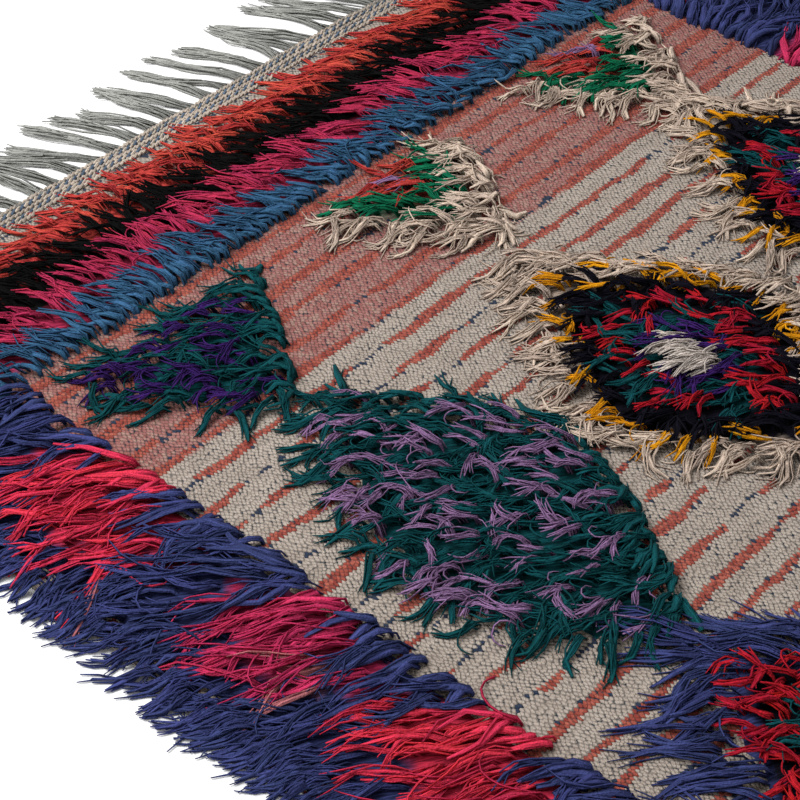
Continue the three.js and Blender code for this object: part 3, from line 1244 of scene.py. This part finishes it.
    def guides(self, dye: Dye, locks: Mapping[str, np.ndarray], side: int) -> Guides:
        """Lays out the locks of one dye: a packed core each, and loose strands that follow it.

        Args:
            dye: The dye.
            locks: The locks, as locks() gives them.
            side: -1 or 1 for one half of the rug, 0 for all of it.

        Returns:
            The guide paths.
        """
        yarn = YARN_OF[dye]
        number = NUMBER_OF[dye]
        rng = np.random.default_rng(self.seed * 100 + number * 3 + side)
        pick = (locks["dye"] == number) & ((side == 0) | (np.sign(locks["x"]) == side))
        lock = {name: values[pick] for name, values in locks.items()}
        made = Guides()
        for kind in Part:
            core, loop = kind is Part.CORE, kind is Part.LOOP
            if loop:
                own = np.flatnonzero(rng.random(lock["x"].size) < yarn.loops)
            else:
                each = np.where(core | lock["rim"], 1, yarn.strands)
                own = np.repeat(np.arange(lock["x"].size), each)
            points = {Part.CORE: min(5, yarn.points), Part.STRAND: yarn.points, Part.LOOP: 10}[kind]
            take = {name: values[own] for name, values in lock.items()}
            n = own.size
            place = np.linspace(0, 1, points) ** (1.45 if core else 1.15)
            wraps = take["rim"][:, None]
            forward = np.where(wraps, np.interp(place, *RIM_FORWARD)[None, :], place[None, :])
            wrapped, lying = np.interp(place, *RIM_HEIGHT), np.interp(place, *LOCK_HEIGHT)
            stand = np.where(wraps, wrapped[None, :], lying[None, :])
            middle = np.clip((forward[:, 1:] + forward[:, :-1]) / 2, 0, 1)
            across = np.zeros(n) if core else rng.uniform(-1, 1, n)
            back = np.zeros(n) if core else rng.uniform(-0.8, 0.8, n)
            stray = (rng.random(n) < 0.06) & (kind is Part.STRAND)
            length = take["length"] * (1.0 if core else rng.uniform(0.84, 1.15, n))
            ahead = np.stack([np.cos(take["lean"]), np.sin(take["lean"])], -1)
            aside = np.stack([-ahead[:, 1], ahead[:, 0]], -1)
            start = np.stack([take["x"], take["y"]], -1)
            start = start + yarn.spread * (across[:, None] * aside + back[:, None] * ahead)
            heading = take["lean"][:, None] + take["bend"][:, None] * middle**1.3
            swing = np.sin(take["wave"][:, None] + length[:, None] * middle / 15)
            heading = heading + take["wag"][:, None] * swing
            gather = np.where(stray | loop, 0.1, 0.8)
            heading = heading - (gather * across * yarn.spread / np.maximum(length, 8))[:, None]
            if not core:
                turn = rng.normal(0, 0.5 * yarn.curl, n) + np.where(stray, rng.normal(0, 0.6, n), 0)
                turn = np.where(loop, rng.choice([-1, 1], n) * rng.uniform(2.2, 4.2, n), turn)
                ripple = rng.uniform(0.0, 0.12 + 0.3 * yarn.curl, n)[:, None]
                phase = rng.uniform(0, 2 * np.pi, n)[:, None]
                heading = heading + turn[:, None] * middle**1.6 + ripple * np.sin(phase + 9 * middle)
            steps = np.diff(forward, axis=1) * length[:, None]
            on_top = 0.0 if core else (1 - across**2) * rng.uniform(0.0, 1.0, n) * (yarn.core + 1.6)
            rise = (take["lift"] + on_top + np.where(stray, rng.uniform(0, 4, n), 0))[:, None] * stand
            rise = rise + (0.0 if core else rng.normal(0, 0.4, (n, points)))
            thick = yarn.core if core else yarn.radius
            path = self.lay(start, heading, steps, rise, thick)
            taper = np.interp(place, *(CORE_TAPER if core else STRAND_TAPER))
            bulk = np.where(take["rim"], 1.5 if core else 1.2, 1.0)
            width = thick * (bulk * rng.uniform(0.85, 1.15, n))[:, None] * taper[None, :]
            tint = np.clip(take["tint"] + (0.0 if core else rng.normal(0, 0.14, n)), 0, 1)
            made.add(path, width, tint, core)
        return made

    def build(self) -> list[bpy.types.Object]:
        """Builds one piece for each dye, and two for the violet of the borders.

        Returns:
            The shag pieces.
        """
        locks = self.locks()
        pieces = []
        for dye in Dye:
            word = dye.name.lower()
            yarn = WoolYarn("wool yarn dyed " + word.replace("_", " "), dye.value).material()
            for side in (-1, 1) if dye is Dye.VIOLET else (0,):
                label = {-1: "_left", 0: "", 1: "_right"}[side]
                pieces.append(YarnTubes().spin("shag_" + word + label, self.guides(dye, locks, side), yarn))
        return pieces


@dataclass
class KnotBed:
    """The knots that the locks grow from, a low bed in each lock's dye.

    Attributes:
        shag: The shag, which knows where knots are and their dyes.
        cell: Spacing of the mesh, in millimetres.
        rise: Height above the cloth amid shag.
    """

    shag: Shag
    cell: float = 15.0
    rise: float = 3.6

    def unpinched(self, square: np.ndarray) -> np.ndarray:
        """Drops squares that meet the rest at one corner only, so that the beds stay closed solids.

        Args:
            square: Which squares of the grid hold knots.

        Returns:
            The squares that are left.
        """
        while True:
            around = np.pad(square, 1)
            a, b, c, d = around[:-1, :-1], around[1:, :-1], around[1:, 1:], around[:-1, 1:]
            pinch = (a & c & ~b & ~d) | (b & d & ~a & ~c)
            if not pinch.any():
                return square
            square = square & ~pinch[:-1, :-1] & ~pinch[1:, :-1]

    def build(self) -> bpy.types.Object:
        """Builds the beds as closed low mounds.

        Returns:
            The bed piece.
        """
        ground = self.shag.ground
        xs = np.arange(-ground.width / 2 + 4, ground.width / 2 - 3, self.cell)
        ys = np.arange(ground.start + 4, ground.end - 3, self.cell)
        x, y = np.meshgrid(xs, ys, indexing="ij")
        held = self.shag.support(x, y)
        lumps = 1 + 0.3 * ValueNoise(14, 81).at(x, y) + 0.15 * ValueNoise(9, 82).at(x, y)
        inside = held > 0.7
        square = self.unpinched(inside[:-1, :-1] & inside[1:, :-1] & inside[1:, 1:] & inside[:-1, 1:])
        around = np.pad(square, 1)
        within = around[:-1, :-1] & around[1:, :-1] & around[1:, 1:] & around[:-1, 1:]
        top = ground.thick + np.where(within, self.rise * np.clip((held - 0.5) * 2, 0, 1) * lumps, -0.8)
        count = x.size
        number = np.arange(count).reshape(x.shape)
        corners = [number[:-1, :-1], number[1:, :-1], number[1:, 1:], number[:-1, 1:]]
        ring = [corner[square] for corner in corners]
        quads = [np.stack(ring, -1), np.stack(ring[::-1], -1) + count]
        beside = [around[1:-1, :-2], around[2:, 1:-1], around[1:-1, 2:], around[:-2, 1:-1]]
        for side, taken in enumerate(beside):
            edge = square & ~taken
            a, b = corners[side][edge], corners[(side + 1) % 4][edge]
            quads.append(np.stack([a + count, b + count, b, a], -1))
        layers = [np.stack([x, y, z], -1).reshape(-1, 3) for z in (top, np.full_like(x, 1.2))]
        points = np.concatenate(layers)
        faces = np.concatenate(quads)
        used, renumbered = np.unique(faces, return_inverse=True)
        mesh = bpy.data.meshes.new("knot_bed")
        mesh.from_pydata((points[used] * MM).tolist(), [], renumbered.reshape(faces.shape).tolist())
        mesh.shade_smooth()
        spots = points[used]
        dyes = self.shag.dye_at(spots[:, 0], spots[:, 1])
        for dx, dy in ((9, 0), (-9, 0), (0, 9), (0, -9), (18, 0), (-18, 0), (0, 18), (0, -18)):
            dyes = np.where(dyes >= 0, dyes, self.shag.dye_at(spots[:, 0] + dx, spots[:, 1] + dy))
        # Beds under spots take the dye around them; red and mustard beds take navy as painted shade between
        # their locks
        bed_dye_and_shade = {Dye.LILAC: Dye.TEAL, Dye.PURPLE: Dye.TEAL, Dye.WHITE: Dye.PURPLE}
        bed_dye_and_shade |= {Dye.RED: Dye.NAVY, Dye.MUSTARD: Dye.NAVY}
        palette = np.array([linear(bed_dye_and_shade.get(dye, dye).value) for dye in Dye], np.float32)
        colours = np.where(dyes[:, None] >= 0, palette[dyes], palette[0]).astype(np.float32)
        dyed = mesh.attributes.new("knot_dye_and_shade", "FLOAT_COLOR", "POINT")
        dyed.data.foreach_set("color", colours.ravel())
        return put_in_scene("knot_bed", mesh)

    def dress(self, piece: bpy.types.Object) -> None:
        """Gives the bed packed wool in the dye of each place, with painted shade between knots.

        Args:
            piece: The bed piece.
        """
        mat, tree = blank_material("packed wool knots")
        dye = add_node(tree, "ShaderNodeAttribute", attribute_name="knot_dye_and_shade")
        where = add_node(tree, "ShaderNodeTexCoord")
        # Fibres lie along the lean of the diamonds' locks
        combed = add_node(
            tree,
            "ShaderNodeVectorRotate",
            {"Vector": where.outputs["Object"], "Angle": math.radians(-self.shag.lean_deg)},
            rotation_type="Z_AXIS",
        )
        stretched = add_node(
            tree, "ShaderNodeVectorMath", {0: combed, 1: (130, 1000, 400)}, operation="MULTIPLY"
        )
        knots = add_node(
            tree,
            "ShaderNodeTexNoise",
            {"Vector": stretched, "Scale": 1 / 2.6, "Detail": 2.0, "Distortion": 0.7},
        )
        # Painted shade: the noise darkens the bed between knots, down to 0.28 of its dye
        depth = add_node(
            tree,
            "ShaderNodeMapRange",
            {
                "Value": knots.outputs["Fac"],
                "From Min": 0.4,
                "From Max": 0.62,
                "To Min": 0.28,
                "To Max": 0.95,
            },
        )
        shaded_bed = add_node(
            tree,
            "ShaderNodeVectorMath",
            {0: dye.outputs["Color"], "Scale": depth},
            operation="SCALE",
        )
        bump = add_node(
            tree, "ShaderNodeBump", {"Height": knots.outputs["Fac"], "Strength": 1.0, "Distance": 3 * MM}
        )
        wool = add_node(
            tree,
            "ShaderNodeBsdfPrincipled",
            {
                "Base Color": shaded_bed,
                "Roughness": 0.95,
                "Specular IOR Level": 0.1,
                "Normal": bump,
            },
        )
        add_node(tree, "ShaderNodeOutputMaterial", {"Surface": wool})
        piece.data.materials.append(mat)


@dataclass
class Fringe:
    """The twined heading strip and the bundles of warp ends, as the frame has them.

    Attributes:
        width: Along the weft, in millimetres.
        start: Where the heading meets the cloth.
        heading: Width of the heading strip.
        bundles: Number of bundles.
        threads: Warp ends in a bundle.
        rows: Rows of twining in the heading.
        turn_mm: Length of one twist of the twining.
        seed: Fixed seed.
        repeat: One repeat of the bundles, reach beyond the strip and sideways sway of the tip.
    """

    width: float = 1216.0
    start: float = 742.3
    heading: float = 28.0
    bundles: int = 46
    threads: int = 18
    rows: int = 5
    turn_mm: float = 12.0
    seed: int = 77
    repeat: tuple[tuple[float, float], ...] = (
        (104, -38),
        (110, -44),
        (92, -52),
        (110, -46),
        (98, -34),
        (86, -26),
        (106, -30),
    )

    def build_heading(self) -> list[bpy.types.Object]:
        """Builds the heading: rows of two-strand twining, side by side.

        Returns:
            The heading pieces.
        """
        points = int(self.width / self.turn_mm * 4)
        x = np.linspace(-0.5, 0.5, points) * (self.width - 5)
        gap = self.heading / self.rows
        undyed, indigo = Guides(), Guides()
        for row in range(self.rows):
            y = np.full_like(x, self.start + gap * (row + 0.5))
            sway = 1.6 * ValueNoise(34, 61).at(x, y) + 0.9 * ValueNoise(13, 62).at(x, y)
            slip = 2.2 * ValueNoise(50, 63 + row).at(x, y) + row * 2.1
            size = 1.9 * (1 + 0.3 * ValueNoise(14, 71 + row).at(x, y))
            for strand in (0, 1):
                wind = 2 * np.pi * x / self.turn_mm + slip + strand * np.pi
                path = np.stack([x, y + sway + 1.3 * np.sin(wind), 3.4 + 1.2 * np.cos(wind)], -1)
                kind = indigo if strand and row % 2 else undyed
                kind.add(path[None], size[None], np.array([0.3 + 0.13 * ((row * 2 + strand) % 4)]))
        return [
            YarnTubes().spin(
                "heading_undyed", undyed, WoolYarn("wool warp yarn, undyed grey", "#CBBDAE").material()
            ),
            YarnTubes().spin(
                "heading_indigo", indigo, WoolYarn("wool warp yarn, faded indigo", "#5F6F82").material()
            ),
        ]

    def build_bundles(self) -> bpy.types.Object:
        """Builds the loose warp ends, bundle by bundle.

        Returns:
            The fringe piece.
        """
        rng = np.random.default_rng(self.seed)
        share = np.linspace(0, 1, 7)
        pitch = self.width / self.bundles
        paths, tints = [], []
        for n in range(self.bundles):
            reach, sway = self.repeat[n % len(self.repeat)]
            from_edge = pitch * (n + 0.5)
            sway = (sway + rng.normal(0, 9)) * min(1.0, from_edge / 120)
            root_x = -self.width / 2 + from_edge
            y0, y1 = self.start + self.heading - 8, self.start - 0.3 + self.heading + reach
            path_x = root_x + sway * np.interp(share, [0, 0.3, 0.65, 1], [0, 0.2, 0.62, 1])
            path_x = path_x + 4.5 * np.sin(share * 5 + n * 1.7) * share
            for _ in range(self.threads):
                across, high = rng.uniform(-1, 1), rng.uniform(0, 1)
                turned = across * np.cos(share * rng.uniform(0.2, 2.6))
                swap = turned + 0.25 * np.sin(share * 9 + rng.uniform(0, 6))
                narrow = np.interp(share, [0, 0.12, 0.5, 1], [9.5, 5.5, 8.0, 11.0])
                x = path_x + swap * narrow
                ends = y1 - rng.uniform(0, 18)
                y = y0 + (ends - y0) * share
                z = 1.3 + high * np.interp(share, [0, 0.3, 0.7, 1], [3.0, 5.6, 4.6, 1.8])
                paths.append(np.stack([x, y, z], -1))
                tints.append(rng.uniform(0.1, 0.9))
        threads = np.stack(paths)
        taper = np.interp(share, [0, 0.9, 1], [1.0, 0.95, 0.6])
        ends = Guides()
        ends.add(threads, np.broadcast_to(1.2 * taper, threads.shape[:2]), np.array(tints))
        yarn = WoolYarn("wool warp yarn, weathered grey", "#AAAAA5").material()
        return YarnTubes().spin("fringe_warp_ends", ends, yarn)


@dataclass
class Studio:
    """Floor, soft light and the camera at the photograph's angle.

    Attributes:
        target: Floor point at the picture's middle, in millimetres.
        distance: From there to the camera.
        azimuth: Degrees, 0 looks along +Y.
        elevation: Degrees above the floor.
        lens: Focal length for a 36 mm sensor.
    """

    target: tuple[float, float] = (-237.0, 290.0)
    distance: float = 1800.0
    azimuth: float = -48.0
    elevation: float = 42.0
    lens: float = 90.0

    def floor(self) -> bpy.types.Object:
        """Builds the pale floor.

        Returns:
            The floor, as stage.
        """
        mesh = bpy.data.meshes.new("floor")
        size, low = 9.0, -0.0004
        corners = [(-size, -size, low), (size, -size, low), (size, size, low), (-size, size, low)]
        mesh.from_pydata(corners, [], [(0, 1, 2, 3)])
        piece = put_in_scene("floor", mesh)
        mat = bpy.data.materials.new("matt white studio floor")
        mat.use_nodes = True
        shader = mat.node_tree.nodes["Principled BSDF"]
        shader.inputs["Base Color"].default_value = linear("#F4F4F4")
        shader.inputs["Roughness"].default_value = 0.9
        mesh.materials.append(mat)
        return piece

    def light(self) -> None:
        """Sets a bright even surround and one large soft lamp above the fringe side."""
        scene = bpy.context.scene
        world = bpy.data.worlds.new("studio")
        world.use_nodes = True
        back = world.node_tree.nodes["Background"]
        back.inputs["Color"].default_value = (1.0, 1.0, 1.0, 1.0)
        back.inputs["Strength"].default_value = 0.55
        scene.world = world
        lamp = bpy.data.lights.new("soft_box", "AREA")
        lamp.shape = "RECTANGLE"
        lamp.size, lamp.size_y = 2.2, 1.6
        lamp.energy = 95
        item = put_in_scene("soft_box", lamp)
        item.location = (-1.1, 1.5, 2.3)
        aim = Vector((0, 0.2, 0)) - item.location
        item.rotation_euler = aim.to_track_quat("-Z", "Y").to_euler()
        scene.view_settings.view_transform = "Standard"

    def camera(self) -> None:
        """Places the camera."""
        scene = bpy.context.scene
        lens = bpy.data.cameras.new("camera")
        lens.sensor_fit = "HORIZONTAL"
        lens.sensor_width = 36.0
        lens.lens = self.lens
        item = put_in_scene("camera", lens)
        a, e = math.radians(self.azimuth), math.radians(self.elevation)
        back = Vector((math.sin(a) * math.cos(e), -math.cos(a) * math.cos(e), math.sin(e)))
        item.location = Vector((self.target[0], self.target[1], 0.0)) * MM + back * self.distance * MM
        item.rotation_euler = (-back).to_track_quat("-Z", "Y").to_euler()
        scene.camera = item


def report(pieces: Sequence[bpy.types.Object]) -> None:
    """Logs each piece and its triangles.

    Args:
        pieces: The finished pieces.
    """
    total = 0
    for piece in pieces:
        piece.data.calc_loop_triangles()
        count = len(piece.data.loop_triangles)
        total += count
        log.info("%s: %d triangles", piece.name, count)
    log.info("all pieces: %d triangles", total)


def main() -> None:
    """Builds the rug over the frame, dresses it and sets the studio."""
    logging.basicConfig(level=logging.INFO, format="%(name)s %(message)s")
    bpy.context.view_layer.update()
    studio = Studio()
    studio.camera()
    ground = GroundCloth()
    shag = Shag(ground)
    cloth = ground.build()
    ground.dress(cloth)
    bed = KnotBed(shag)
    knots = bed.build()
    bed.dress(knots)
    locks = [knots, *shag.build()]
    fringe = Fringe()
    heading = fringe.build_heading()
    bundles = fringe.build_bundles()
    pieces = [cloth, *locks, *heading, bundles]
    for piece in pieces:
        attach(piece, "root")
    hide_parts("rug")
    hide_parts("fringe")
    studio.floor()
    studio.light()
    report(pieces)
    bpy.context.view_layer.update()


if __name__ == "__main__":
    main()
